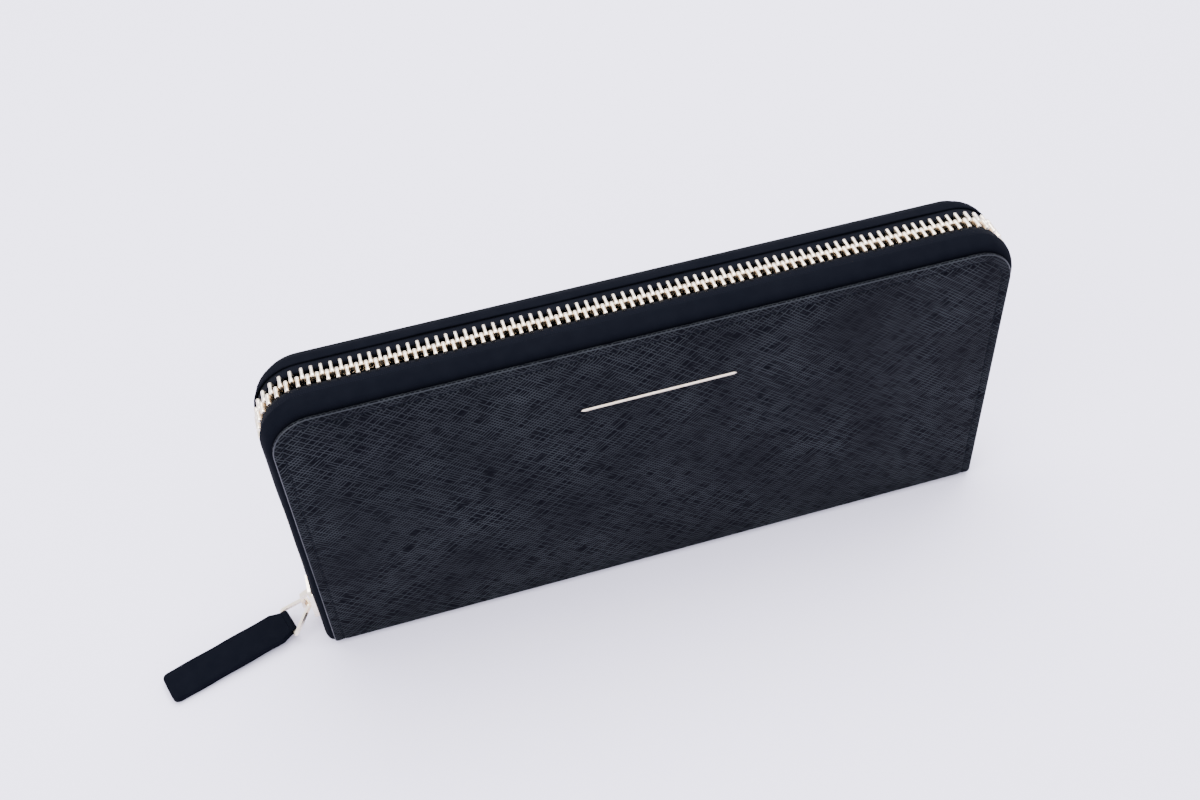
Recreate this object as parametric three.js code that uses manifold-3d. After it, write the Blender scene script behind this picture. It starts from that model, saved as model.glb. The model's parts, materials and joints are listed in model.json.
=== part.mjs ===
// A zip-around long wallet in embossed leather, standing on its spine.
// Millimetres. +X runs along the wallet's length, +Y from the front cover to the back cover, +Z up.
// The origin is the centre of the spine's flat underside.
import * as THREE from "three";
import { mergeVertices } from "three/addons/utils/BufferGeometryUtils.js";
import Module from "manifold-3d";

const wasm = await Module();
wasm.setup();

// ---- Driving dimensions ----
const COVER_W = 195; // length of the covers
const COVER_H = 90.5; // height of the covers above the table
const DEPTH = 24; // over the two outer faces
const CORNER_R = 11; // the covers' upper corners
const SKIN = 1.2; // outer leather
const BOARD = 1.0; // stiffener
const LINING = 0.4;
const POCKET = 0.5; // one card pocket's leather
const POCKET_COUNT = 4; // stepped card pockets on each cover
const FIT = 0.1; // between glued layers
const SEAM = 0.3; // between pieces that move apart
const HEM = 3.4; // how far the board stands back from the covers' edge
const CURL_R = 3; // the leather's bend from the spine into the covers
const PITCH = 2.4; // of the zip's elements
const JOINED_Z = 18; // below this height both halves of the zip stay with the spine

// ---- Sizes worked out from them ----
const HALF_W = COVER_W / 2;
const HALF_D = DEPTH / 2;
const SKIN_IN = HALF_D - SKIN; // |y| of the outer leather's inner face
const BOARD_OUT = SKIN_IN - FIT;
const BOARD_IN = BOARD_OUT - BOARD;
const LINING_OUT = BOARD_IN - FIT;
const LINING_IN = LINING_OUT - LINING;
const POCKET_STEP = POCKET + FIT;
const POCKETS_IN = LINING_IN - POCKET_COUNT * POCKET_STEP; // |y| of the innermost pocket's face
const SPINE_HALF = HALF_D - CURL_R; // half the spine's flat width
const COVER_FOOT = CURL_R + SEAM;
const INNER_FOOT = 6; // the board's and the lining's lower edge

// ---- Materials ----
const finish = (color, roughness, metalness) => () =>
  new THREE.MeshStandardMaterial({ color, roughness, metalness });
const leather = finish(0x1b1e26, 0.55, 0);
const innerLeather = finish(0x17181c, 0.6, 0);
const fabric = finish(0x101218, 0.9, 0);
const boardStock = finish(0x8a7f70, 0.9, 0);
const gold = finish(0xe8cfa4, 0.25, 1);

const wallet = new THREE.Group();

function add(name, geometry, material) {
  const mesh = new THREE.Mesh(geometry, material());
  mesh.name = name;
  wallet.add(mesh);
  return mesh;
}

// ---- Shape helpers ----
function polygon(points) {
  return new THREE.Shape(points.map(([a, b]) => new THREE.Vector2(a, b)));
}

function box([x0, x1], [y0, y1], [z0, z1]) {
  const geometry = new THREE.BoxGeometry(x1 - x0, y1 - y0, z1 - z0);
  return geometry.translate((x0 + x1) / 2, (y0 + y1) / 2, (z0 + z1) / 2);
}

// A span given by its distances from the middle plane, on one side of it.
function span(side, near, far) {
  return side < 0 ? [-far, -near] : [near, far];
}

// An outline in the XZ plane made into a sheet over a span of y.
function sheet(outline, [low, high]) {
  const geometry = new THREE.ExtrudeGeometry(outline, {
    depth: high - low,
    bevelEnabled: false,
    curveSegments: 8,
  });
  return geometry.rotateX(Math.PI / 2).translate(0, high, 0);
}

// An outline in the YZ plane run along X.
function alongX(outline, [from, to]) {
  const geometry = new THREE.ExtrudeGeometry(outline, {
    depth: to - from,
    bevelEnabled: false,
    curveSegments: 6,
  });
  const turn = new THREE.Matrix4().makeBasis(
    new THREE.Vector3(0, 1, 0),
    new THREE.Vector3(0, 0, 1),
    new THREE.Vector3(1, 0, 0),
  );
  return geometry.applyMatrix4(turn).translate(from, 0, 0);
}

// A straight foot, upright sides and a top edge with round corners.
function arched(halfWidth, foot, top, r) {
  const shape = new THREE.Shape();
  shape.moveTo(-halfWidth, foot);
  shape.lineTo(halfWidth, foot);
  shape.lineTo(halfWidth, top - r);
  shape.absarc(halfWidth - r, top - r, r, 0, Math.PI / 2);
  shape.lineTo(-halfWidth + r, top);
  shape.absarc(-halfWidth + r, top - r, r, Math.PI / 2, Math.PI);
  return shape;
}

// The covers' outline taken in by inset, from the height foot up.
function coverOutline(inset, foot) {
  return arched(HALF_W - inset, foot, COVER_H - inset, CORNER_R - inset);
}

// ---- Booleans ----
function solid(geometry) {
  const bare = geometry.clone();
  bare.deleteAttribute("normal");
  bare.deleteAttribute("uv");
  const merged = mergeVertices(bare, 1e-4);
  return new wasm.Manifold(
    new wasm.Mesh({
      numProp: 3,
      vertProperties: merged.attributes.position.array,
      triVerts: new Uint32Array(merged.index.array),
    }),
  );
}

function geometryOf(manifold) {
  const made = manifold.getMesh();
  const positions = new THREE.BufferAttribute(made.vertProperties, 3);
  return new THREE.BufferGeometry()
    .setAttribute("position", positions)
    .setIndex(new THREE.BufferAttribute(made.triVerts, 1));
}

function join(geometries) {
  return geometryOf(wasm.Manifold.union(geometries.map(solid)));
}

function cut(geometry, tools) {
  const removed = wasm.Manifold.union(tools.map(solid));
  return geometryOf(solid(geometry).subtract(removed));
}

// ---- The zip's path: up the left end, over the top and down the right end ----
const SIDE_RUN = COVER_H - CORNER_R;
const ARC_RUN = (Math.PI / 2) * CORNER_R;
const TOP_RUN = COVER_W - 2 * CORNER_R;
const PATH_RUN = 2 * SIDE_RUN + 2 * ARC_RUN + TOP_RUN;
const ARC_STEPS = 6;

// A frame at the distance s along the path: z is along the path, x is outwards and y is the wallet's.
function frameAt(s) {
  const left = s < PATH_RUN / 2;
  const run = left ? s : PATH_RUN - s;
  const side = left ? -1 : 1;
  const angle = THREE.MathUtils.clamp((run - SIDE_RUN) / CORNER_R, 0, Math.PI / 2);
  const nx = side * Math.cos(angle);
  const nz = Math.sin(angle);
  const x = side * (HALF_W - CORNER_R) + nx * CORNER_R;
  const beyond = Math.max(0, run - SIDE_RUN - ARC_RUN);
  const at = new THREE.Vector3(
    x - side * beyond,
    0,
    Math.min(run, SIDE_RUN) + nz * CORNER_R,
  );
  const out = new THREE.Vector3(nx, 0, nz);
  const across = new THREE.Vector3(0, 1, 0);
  const along = new THREE.Vector3().crossVectors(out, across);
  return new THREE.Matrix4().makeBasis(out, across, along).setPosition(at);
}

// Distances along the path where a swept band needs a ring of vertices.
function pathStops([from, to]) {
  const bends = [];
  for (let i = 0; i <= ARC_STEPS; i++) {
    bends.push(SIDE_RUN + (ARC_RUN * i) / ARC_STEPS);
    bends.push(PATH_RUN - SIDE_RUN - (ARC_RUN * i) / ARC_STEPS);
  }
  const inside = bends.filter((s) => s > from + 0.01 && s < to - 0.01);
  return [from, ...inside.sort((a, b) => a - b), to];
}

// A closed section of [outward, y] points swept along the path.
function sweep(section, range) {
  const flat = section.map(([n, y]) => new THREE.Vector2(n, y));
  if (THREE.ShapeUtils.isClockWise(flat)) flat.reverse();
  const stops = pathStops(range);
  const count = flat.length;
  const positions = [];
  for (const s of stops) {
    const frame = frameAt(s);
    for (const { x, y } of flat)
      positions.push(...new THREE.Vector3(x, y, 0).applyMatrix4(frame));
  }
  const index = [];
  for (let ring = 0; ring + 1 < stops.length; ring++) {
    for (let i = 0; i < count; i++) {
      const a = ring * count + i;
      const b = ring * count + ((i + 1) % count);
      index.push(a, a + count, b, b, a + count, b + count);
    }
  }
  const last = (stops.length - 1) * count;
  for (const [a, b, c] of THREE.ShapeUtils.triangulateShape(flat, [])) {
    index.push(a, b, c);
    index.push(last + a, last + c, last + b);
  }
  return new THREE.BufferGeometry()
    .setAttribute("position", new THREE.Float32BufferAttribute(positions, 3))
    .setIndex(index);
}

// One side's row of zip elements on its cord. The back row sits half a pitch further on.
const TOOTH = { width: 0.85, cordOut: 3, cordIn: 1.9, reach: 0.6, low: 0.4, high: 2.8 };

function teeth(side, range) {
  const phase = side < 0 ? 0 : PITCH / 2;
  const cord = [
    [TOOTH.low, side * TOOTH.cordIn],
    [TOOTH.high, side * TOOTH.cordIn],
    [TOOTH.high, side * TOOTH.cordOut],
    [TOOTH.low, side * TOOTH.cordOut],
  ];
  const [low, high] = side < 0 ? [-2.2, TOOTH.reach] : [-TOOTH.reach, 2.2];
  const pieces = [sweep(cord, range)];
  const first = Math.ceil((range[0] + TOOTH.width - phase) / PITCH);
  const last = Math.floor((range[1] - TOOTH.width - phase) / PITCH);
  const half = TOOTH.width / 2;
  const height = [TOOTH.low + 0.05, TOOTH.high - 0.05];
  for (let k = first; k <= last; k++) {
    const element = box(height, [low, high], [-half, half]);
    pieces.push(element.applyMatrix4(frameAt(k * PITCH + phase)));
  }
  return join(pieces);
}

// ---- Spine ----
// The outer leather under the wallet with its bend into the back cover.
function spineLeather() {
  const shape = new THREE.Shape();
  shape.moveTo(-SPINE_HALF, 0);
  shape.lineTo(SPINE_HALF, 0);
  shape.absarc(SPINE_HALF, CURL_R, CURL_R, 1.5 * Math.PI, 2 * Math.PI);
  shape.lineTo(SKIN_IN, CURL_R);
  shape.absarc(SPINE_HALF, CURL_R, CURL_R - SKIN, 2 * Math.PI, 1.5 * Math.PI, true);
  shape.lineTo(-SPINE_HALF, SKIN);
  return alongX(shape, [-HALF_W, HALF_W]);
}

// The bend into the front cover, which unrolls as that cover opens.
function frontFold() {
  const shape = new THREE.Shape();
  const start = 1.5 * Math.PI - 0.04;
  shape.absarc(-SPINE_HALF, CURL_R, CURL_R, start, Math.PI, true);
  shape.absarc(-SPINE_HALF, CURL_R, CURL_R - SKIN, Math.PI, start);
  return alongX(shape, [-HALF_W, HALF_W]);
}

add("spine_leather", spineLeather(), leather);
add("front_fold_leather", frontFold(), leather);
const SPINE_X = [-HALF_W + HEM, HALF_W - HEM];
const SPINE_Y = [-SPINE_HALF, SPINE_HALF];
const STIFFENER_Z = [SKIN + FIT, SKIN + FIT + BOARD];
const SPINE_LINING_Z = [STIFFENER_Z[1] + FIT, STIFFENER_Z[1] + FIT + LINING];
add("spine_stiffener", box(SPINE_X, SPINE_Y, STIFFENER_Z), boardStock);
add("spine_lining", box(SPINE_X, SPINE_Y, SPINE_LINING_Z), fabric);

// ---- Covers ----
const SIDES = [
  [-1, "front"],
  [1, "back"],
];
const POCKET_HALF_W = 91;
const POCKET_FOOT = 7.5;
const POCKET_TOP = 34; // the innermost pocket's mouth
const POCKET_RISE = 11; // from one pocket's mouth to the next

for (const [side, label] of SIDES) {
  const skin = sheet(coverOutline(0, COVER_FOOT), span(side, SKIN_IN, HALF_D));
  const board = sheet(coverOutline(HEM, INNER_FOOT), span(side, BOARD_IN, BOARD_OUT));
  const lining = sheet(
    coverOutline(HEM, INNER_FOOT),
    span(side, LINING_IN, LINING_OUT),
  );
  add(`${label}_cover_leather`, skin, leather);
  add(`${label}_cover_board`, board, boardStock);
  add(`${label}_lining`, lining, fabric);
  for (let i = 0; i < POCKET_COUNT; i++) {
    const outer = LINING_IN - FIT - i * POCKET_STEP;
    const top = POCKET_TOP + (POCKET_COUNT - 1 - i) * POCKET_RISE;
    const outline = arched(POCKET_HALF_W, POCKET_FOOT, top, 2);
    const pocket = sheet(outline, span(side, outer - POCKET, outer));
    add(`${label}_card_pocket_${i + 1}`, pocket, innerLeather);
  }
}

// The plain foil line stamped near the top of the front cover.
const FOIL = { length: 42, height: 0.9, z: 70, thick: 0.1 };
add(
  "front_foil_line",
  box(
    [-FOIL.length / 2, FOIL.length / 2],
    span(-1, HALF_D + 0.02, HALF_D + 0.02 + FOIL.thick),
    [FOIL.z, FOIL.z + FOIL.height],
  ),
  gold,
);

// ---- Bands: the leather strips that carry the zip round the covers' edge ----
const BAND = [
  [-3, 10.7],
  [0.3, 10.7],
  [1.2, 10.3],
  [1.9, 9],
  [2.35, 7.2],
  [2.5, 5.8],
  [1.75, 5.8],
  [1.6, 7.1],
  [1.2, 8.6],
  [0.6, 9.6],
  [0, 9.95],
  [-3, 9.95],
];
const TAPE = [
  [1.85, 3.1],
  [1.8, 4.8],
  [1.5, 5.8],
  [1.35, 7],
  [0.95, 8.3],
  [0.5, 9],
  [0, 8.6],
  [0.45, 7.9],
  [0.85, 6.8],
  [1, 5.6],
  [1.3, 4.7],
  [1.35, 3.1],
];
const mirrored = (section, side) => section.map(([n, y]) => [n, side * y]);

const ZIP_FOOT = 0.4; // the ends just clear the table
const BAND_RANGE = [COVER_FOOT + FIT, PATH_RUN - COVER_FOOT - FIT];
const WHOLE = [ZIP_FOOT, PATH_RUN - ZIP_FOOT];
const FRONT_RANGE = [JOINED_Z + SEAM, PATH_RUN - JOINED_Z - SEAM];
const LEFT_END = [ZIP_FOOT, JOINED_Z];
const RIGHT_END = [PATH_RUN - JOINED_Z, PATH_RUN - ZIP_FOOT];

add("front_band", sweep(mirrored(BAND, -1), BAND_RANGE), leather);
add("back_band", sweep(mirrored(BAND, 1), BAND_RANGE), leather);
add("front_zip_tape", sweep(mirrored(TAPE, -1), FRONT_RANGE), fabric);
add("back_zip_tape", sweep(mirrored(TAPE, 1), WHOLE), fabric);
add("front_tape_end_left", sweep(mirrored(TAPE, -1), LEFT_END), fabric);
add("front_tape_end_right", sweep(mirrored(TAPE, -1), RIGHT_END), fabric);

// The right end's comb starts above the bottom stop, and the left end's above the slider's divider.
const STOP_Z = [3, 8];
const RIGHT_FOOT = PATH_RUN - STOP_Z[1] - SEAM;
const LEFT_FOOT = 9.2;
const MAIN_TEETH = [SIDE_RUN + SEAM, PATH_RUN - JOINED_Z - SEAM];
add("front_zip_teeth", teeth(-1, MAIN_TEETH), gold);
add("back_zip_teeth", teeth(1, [MAIN_TEETH[0], RIGHT_FOOT]), gold);
add("front_left_run_teeth", teeth(-1, [JOINED_Z + SEAM, SIDE_RUN]), gold);
add("back_left_run_teeth", teeth(1, [LEFT_FOOT, SIDE_RUN]), gold);
add("front_teeth_end_left", teeth(-1, [LEFT_FOOT, JOINED_Z]), gold);
add("front_teeth_end_right", teeth(-1, [PATH_RUN - JOINED_Z, RIGHT_FOOT]), gold);
add("zip_bottom_stop", box([HALF_W + 0.4, HALF_W + 2.8], [-3, 3], STOP_Z), gold);
for (const [side, label] of SIDES) {
  const block = box([-HALF_W - 2.6, -HALF_W - 0.6], span(side, 2, 3), [1.8, 4]);
  add(`zip_top_stop_${label}`, block, gold);
}

// ---- Slider, pull link and leather pull ----
const SLIDER = { foot: 4.6, top: 15.4, narrow: 3.9, wide: 4.7, plate: 0.8, lip: 3.3 };
const PLATE_OUT = [TOOTH.high + 0.25, TOOTH.high + 0.25 + SLIDER.plate];
const PLATE_IN = [TOOTH.low - 0.25 - SLIDER.plate, TOOTH.low - 0.25];
const SLOT = [0.95, 2.15]; // how far out the tapes pass between the slider's lips

// An outline in the YZ plane raised outwards from the wallet's left end.
function outwardsLeft(outline, [low, high]) {
  return alongX(outline, [-HALF_W - high, -HALF_W - low]);
}

function sliderPlate(range) {
  const { foot, top, narrow, wide } = SLIDER;
  const outline = polygon([
    [-wide + 1, foot],
    [wide - 1, foot],
    [wide, foot + 1],
    [wide, foot + 4],
    [narrow, top - 1],
    [narrow - 0.8, top],
    [-narrow + 0.8, top],
    [-narrow, top - 1],
    [-wide, foot + 4],
    [-wide, foot + 1],
  ]);
  return outwardsLeft(outline, range);
}

function sliderLip(side, range) {
  const { foot, top, narrow, wide, lip } = SLIDER;
  const outline = polygon([
    [side * (lip + 0.6), foot + 1],
    [side * wide, foot + 1],
    [side * wide, foot + 4],
    [side * narrow, top - 1],
    [side * lip, top - 1],
    [side * lip, foot + 5],
  ]);
  return outwardsLeft(outline, range);
}

const BAIL = { half: 0.8, foot: 5.4, top: 12.6, rise: 2.9, bar: 0.8 };

function sliderBail() {
  const x = -HALF_W - PLATE_OUT[1] + 0.1;
  const outline = new THREE.Shape();
  outline.moveTo(x, BAIL.foot);
  outline.lineTo(x - BAIL.rise, BAIL.foot + 0.6);
  outline.lineTo(x - BAIL.rise, BAIL.top - 2);
  outline.lineTo(x, BAIL.top);
  outline.lineTo(x, BAIL.top - BAIL.bar - 0.4);
  outline.lineTo(x - BAIL.rise + BAIL.bar, BAIL.top - 2.6);
  outline.lineTo(x - BAIL.rise + BAIL.bar, BAIL.foot + 0.6 + BAIL.bar);
  outline.lineTo(x, BAIL.foot + BAIL.bar);
  return sheet(outline, [-BAIL.half, BAIL.half]);
}

const divider = polygon([
  [0, 8.9],
  [-1.6, 6.2],
  [-1.2, 4.9],
  [1.2, 4.9],
  [1.6, 6.2],
]);
const sliderPieces = [
  sliderPlate(PLATE_OUT),
  sliderPlate(PLATE_IN),
  outwardsLeft(divider, [PLATE_IN[1] - 0.2, PLATE_OUT[0] + 0.2]),
  sliderBail(),
];
for (const [side] of SIDES) {
  sliderPieces.push(sliderLip(side, [SLOT[1], PLATE_OUT[1]]));
  sliderPieces.push(sliderLip(side, [PLATE_IN[0], SLOT[0]]));
}
add("slider", join(sliderPieces), gold);

// The link and the pull are laid out in a frame at the link's pivot: x points away from the wallet,
// y is the pivot's axis and z is up. The frame is turned slightly towards the front.
const PULL_YAW = THREE.MathUtils.degToRad(17);
const LINK = { pin: 0.5, length: 8.2, near: 2.1, far: 5.15, thick: 1, drop: -34 };
const PULL = { length: 37, width: 10, nose: 7.6, taper: 4, thick: 2.2, drop: -2.6 };
const pivot = new THREE.Matrix4()
  .makeTranslation(-HALF_W - PLATE_OUT[1] - 1.15, 0, BAIL.foot + 2.1)
  .multiply(new THREE.Matrix4().makeRotationZ(Math.PI + PULL_YAW));
const dropped = (degrees) =>
  new THREE.Matrix4().makeRotationY(-THREE.MathUtils.degToRad(degrees));

function pin(radius, half) {
  return new THREE.CylinderGeometry(radius, radius, 2 * half, 12);
}

// A flat frame: an eye bar through the slider's bail and a wider bar through the pull's loop.
function pullLink() {
  const { near, far, length, thick } = LINK;
  const arm = (side) =>
    polygon([
      [0, side * (near - 0.9)],
      [0.6, side * (near - 0.9)],
      [length - 0.6, side * (far - 0.9)],
      [length + 0.5, side * (far - 0.9)],
      [length + 0.5, side * far],
      [length - 0.6, side * far],
      [0.6, side * near],
      [0, side * near],
    ]);
  const pieces = [-1, 1].map((side) =>
    new THREE.ExtrudeGeometry(arm(side), {
      depth: thick,
      bevelEnabled: false,
    }).translate(0, 0, -thick / 2),
  );
  pieces.push(pin(LINK.pin, near - 0.2));
  pieces.push(pin(LINK.pin, far - 0.2).translate(length, 0, 0));
  return join(pieces);
}

const linkFrame = pivot.clone().multiply(dropped(LINK.drop));
add("pull_link", pullLink().applyMatrix4(linkFrame), gold);

// The leather pull: two layers folded round the link's far bar and sewn together.
function leatherPull() {
  const { length, width, nose, taper, thick } = PULL;
  const outline = polygon([
    [-1.3, -nose / 2 + 0.4],
    [-0.6, -nose / 2],
    [0.9, -nose / 2],
    [taper, -width / 2],
    [length - 1.2, -width / 2],
    [length, -width / 2 + 1.2],
    [length, width / 2 - 1.2],
    [length - 1.2, width / 2],
    [taper, width / 2],
    [0.9, nose / 2],
    [-0.6, nose / 2],
    [-1.3, nose / 2 - 0.4],
  ]);
  const body = new THREE.ExtrudeGeometry(outline, {
    depth: thick,
    bevelEnabled: false,
  }).translate(0, 0, -thick / 2);
  return cut(body, [pin(LINK.pin + 0.1, width)]);
}

const barPosition = new THREE.Vector3(LINK.length, 0, 0).applyMatrix4(linkFrame);
const pullFrame = pivot
  .clone()
  .multiply(dropped(PULL.drop))
  .setPosition(barPosition);
add("leather_pull", leatherPull().applyMatrix4(pullFrame), leather);

// ---- Accordion gussets: a pleat at each end between a cover and the coin pocket ----
const GUSSET = { out: 94, fold: 72, foot: 8, top: 76, thick: 0.5 };
const DIVIDER_HALF = 2; // half the coin pocket's thickness

function gusset(end, side) {
  const outer = POCKETS_IN - 0.15;
  const inner = DIVIDER_HALF + 0.15;
  const middle = (outer + inner) / 2;
  const { out, fold, thick } = GUSSET;
  const points = [
    [out, outer],
    [fold, middle + thick / 2],
    [fold, middle - thick / 2],
    [out, inner],
    [out, inner + thick],
    [fold + 2 * thick, middle],
    [out, outer - thick],
  ];
  const outline = polygon(points.map(([x, y]) => [end * x, side * y]));
  return new THREE.ExtrudeGeometry(outline, {
    depth: GUSSET.top - GUSSET.foot,
    bevelEnabled: false,
  }).translate(0, 0, GUSSET.foot);
}

for (const [side, label] of SIDES) {
  add(`${label}_gusset_left`, gusset(-1, side), fabric);
  add(`${label}_gusset_right`, gusset(1, side), fabric);
}

// ---- Coin pocket between the two bill compartments, with its own zip along the top ----
const COIN = { half: 92.5, foot: 7.5, top: 77, wall: 0.7, hem: 3, zipHalf: 80 };
const COIN_WALL_IN = DIVIDER_HALF - COIN.wall;
const COIN_TAPE = [0.8, COIN_WALL_IN - FIT];
const COIN_TAPE_Z = [68, 79.4];
const COIN_TEETH_Z = [79.6, 81.2];

for (const [side, label] of SIDES) {
  const outline = arched(COIN.half, COIN.foot, COIN.top, 3);
  const wall = sheet(outline, span(side, COIN_WALL_IN, DIVIDER_HALF));
  const zipX = [-COIN.zipHalf, COIN.zipHalf];
  const tape = box(zipX, span(side, ...COIN_TAPE), COIN_TAPE_Z);
  const row = box(zipX, span(side, 0.15, 1.8), COIN_TEETH_Z);
  add(`coin_pocket_${label}_wall`, wall, innerLeather);
  add(`coin_zip_${label}_tape`, tape, fabric);
  add(`coin_zip_${label}_teeth`, row, gold);
}

// The hem that closes the coin pocket at its ends and along its foot.
const HEM_IN = COIN.half - COIN.hem;
const HEM_TOP = COIN_TAPE_Z[0] - 1;
const coinHem = polygon([
  [-COIN.half, COIN.foot],
  [COIN.half, COIN.foot],
  [COIN.half, HEM_TOP],
  [HEM_IN, HEM_TOP],
  [HEM_IN, COIN.foot + COIN.hem],
  [-HEM_IN, COIN.foot + COIN.hem],
  [-HEM_IN, HEM_TOP],
  [-COIN.half, HEM_TOP],
]);
add("coin_pocket_hem", sheet(coinHem, [-COIN_TAPE[1], COIN_TAPE[1]]), fabric);

// The coin zip's slider is a channel round both rows, with a lug for its small pull.
const COIN_SLIDER_X = -70;
const COIN_PIVOT = { y: -2.4, z: 83.8, pin: 0.5 };

function coinSlider() {
  const channel = polygon([
    [-2.7, 78.6],
    [-1.5, 78.6],
    [-1.5, 79.3],
    [-2.1, 79.3],
    [-2.1, 81.5],
    [2.1, 81.5],
    [2.1, 79.3],
    [1.5, 79.3],
    [1.5, 78.6],
    [2.7, 78.6],
    [2.7, 82.3],
    [-2.7, 82.3],
  ]);
  const lug = polygon([
    [-3.4, 82.9],
    [-2.6, 82],
    [-0.6, 82],
    [-1.2, 84.8],
    [-3, 84.9],
  ]);
  const hole = pin(COIN_PIVOT.pin + 0.1, 3)
    .rotateZ(Math.PI / 2)
    .translate(0, COIN_PIVOT.y, COIN_PIVOT.z);
  const body = join([alongX(channel, [-4, 4]), alongX(lug, [-0.8, 0.8])]);
  return cut(body, [hole]).translate(COIN_SLIDER_X, 0, 0);
}

function coinPull() {
  const { y, z } = COIN_PIVOT;
  const outline = polygon([
    [y - 0.9, z - 1.1],
    [y - 0.3, z - 1.2],
    [y + 0.9, z - 0.9],
    [y + 1, z + 0.7],
    [y - 0.3, z + 1.1],
    [y - 1.5, z],
    [y - 1.5, z - 11],
    [y - 0.75, z - 11],
  ]);
  const arms = [-1, 1].map((end) => alongX(outline, span(end, 1, 1.8)));
  const plateY = [y - 1.5, y - 0.75];
  const plate = box([-1.8, 1.8], plateY, [z - 11, z - 3]);
  const bar = pin(COIN_PIVOT.pin, 1.5).rotateZ(Math.PI / 2).translate(0, y, z);
  return join([...arms, plate, bar]).translate(COIN_SLIDER_X, 0, 0);
}

add("coin_slider", coinSlider(), gold);
add("coin_pull", coinPull(), gold);

export default wallet;
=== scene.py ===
"""A zip-around long wallet in embossed leather, standing on its spine.

Lengths are in millimetres until a mesh is made.
"""
import json
import math
import bmesh
import bpy
from mathutils import Euler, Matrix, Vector


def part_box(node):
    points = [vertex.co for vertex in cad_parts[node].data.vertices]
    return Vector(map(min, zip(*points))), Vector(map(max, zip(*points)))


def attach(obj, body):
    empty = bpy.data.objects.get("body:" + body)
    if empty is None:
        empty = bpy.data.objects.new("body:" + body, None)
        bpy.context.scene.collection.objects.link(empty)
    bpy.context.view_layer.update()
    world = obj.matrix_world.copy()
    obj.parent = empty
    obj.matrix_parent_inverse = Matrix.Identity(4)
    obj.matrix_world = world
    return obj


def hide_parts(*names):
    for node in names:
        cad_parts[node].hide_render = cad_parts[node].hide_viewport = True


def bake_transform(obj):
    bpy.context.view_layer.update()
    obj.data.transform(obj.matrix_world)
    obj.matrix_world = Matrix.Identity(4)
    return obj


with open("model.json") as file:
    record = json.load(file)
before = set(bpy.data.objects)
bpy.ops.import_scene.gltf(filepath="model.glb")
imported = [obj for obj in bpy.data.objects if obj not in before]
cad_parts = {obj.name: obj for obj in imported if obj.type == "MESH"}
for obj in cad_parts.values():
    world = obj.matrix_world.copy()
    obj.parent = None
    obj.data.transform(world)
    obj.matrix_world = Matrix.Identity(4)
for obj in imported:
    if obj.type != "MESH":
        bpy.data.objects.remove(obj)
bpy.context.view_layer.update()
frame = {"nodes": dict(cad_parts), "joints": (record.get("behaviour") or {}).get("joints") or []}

MM = 0.001
PI = math.pi


# ---------------------------------------------------------------- sizes, from the CAD's own boxes
def mm_box(node):
    return [[c / MM for c in corner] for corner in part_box(node)]


skin_lo, skin_hi = mm_box("front_cover_leather")
HALF_W = skin_hi[0]
TOP = skin_hi[2]
HALF_D = -skin_lo[1]
CURL = mm_box("spine_leather")[1][2]
SLIDER_FOOT = mm_box("slider")[0][2]
STOP_TOP = mm_box("zip_bottom_stop")[1][2]
CORNER = 11.0
SIDE = TOP - CORNER
ARC = CORNER * PI / 2
RUN = 2 * (HALF_W - CORNER)
PATH = 2 * SIDE + 2 * ARC + RUN
PITCH = 2.4  # between the zip's elements
PATH_STEP, CORNER_STEPS = 2.0, 10  # mesh steps along the cover's edge, and round each corner
BACK, FRONT, DIVIDER = "back_half", "front_half", "coin_divider"
SIDES = ((-1, "front"), (1, "back"))


# ---------------------------------------------------------------- mesh helpers
def piece(name, verts, faces, material, uv):
    """A smooth mesh object from points in millimetres. uv holds one pair for each point."""
    mesh = bpy.data.meshes.new(name)
    mesh.from_pydata([Vector(v) * MM for v in verts], [], faces)
    mesh.polygons.foreach_set("use_smooth", [True] * len(mesh.polygons))
    uv_layer = mesh.uv_layers.new(name="UVMap")
    for loop in mesh.loops:
        uv_layer.data[loop.index].uv = uv[loop.vertex_index]
    mesh.materials.append(material)
    mesh.validate()
    mesh.update()
    obj = bpy.data.objects.new(name, mesh)
    bpy.context.scene.collection.objects.link(obj)
    return obj


class Build:
    """Collects points, faces and uv pairs for one piece."""

    def __init__(self):
        self.verts, self.faces, self.uv = [], [], []

    def grid(self, rows, uvs=None, close_u=False, flip=False):
        """Faces between rows of equally many points. close_u joins each row's end to its start."""
        start, width = len(self.verts), len(rows[0])
        for r, row in enumerate(rows):
            self.verts += row
            self.uv += uvs[r] if uvs else [(p[0] + p[1], p[2]) for p in row]
        for r in range(len(rows) - 1):
            for c in range(width if close_u else width - 1):
                a = start + r * width + c
                b = start + r * width + (c + 1) % width
                quad = (a, b, b + width, a + width)
                self.faces.append(quad[::-1] if flip else quad)
        return start

    def cap(self, ring, flip=False):
        self.faces.append(tuple(ring[::-1] if flip else ring))

    def tube(self, rows, uvs=None):
        """A closed tube through rows that are rings, with a cap at each end."""
        start = self.grid(rows, uvs, close_u=True)
        width = len(rows[0])
        self.cap([start + k for k in range(width)], flip=True)
        self.cap([start + (len(rows) - 1) * width + k for k in range(width)])

    def make(self, name, material):
        return piece(name, self.verts, self.faces, material, self.uv)


def recalc(obj):
    """Points every face outwards on a closed mesh."""
    work = bmesh.new()
    work.from_mesh(obj.data)
    bmesh.ops.recalc_face_normals(work, faces=work.faces)
    work.to_mesh(obj.data)
    work.free()
    return obj


def dress(name, material, width, segments=3):
    """Gives a CAD node its material and rounds its sharp edges."""
    obj = frame["nodes"][name]
    obj.data.materials.clear()
    obj.data.materials.append(material)
    mod = obj.modifiers.new("Bevel", "BEVEL")
    mod.width = width * MM
    mod.segments = segments
    mod.limit_method = "ANGLE"
    mod.angle_limit = math.radians(35)
    mod.harden_normals = True
    obj.data.polygons.foreach_set("use_smooth", [True] * len(obj.data.polygons))


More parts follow.
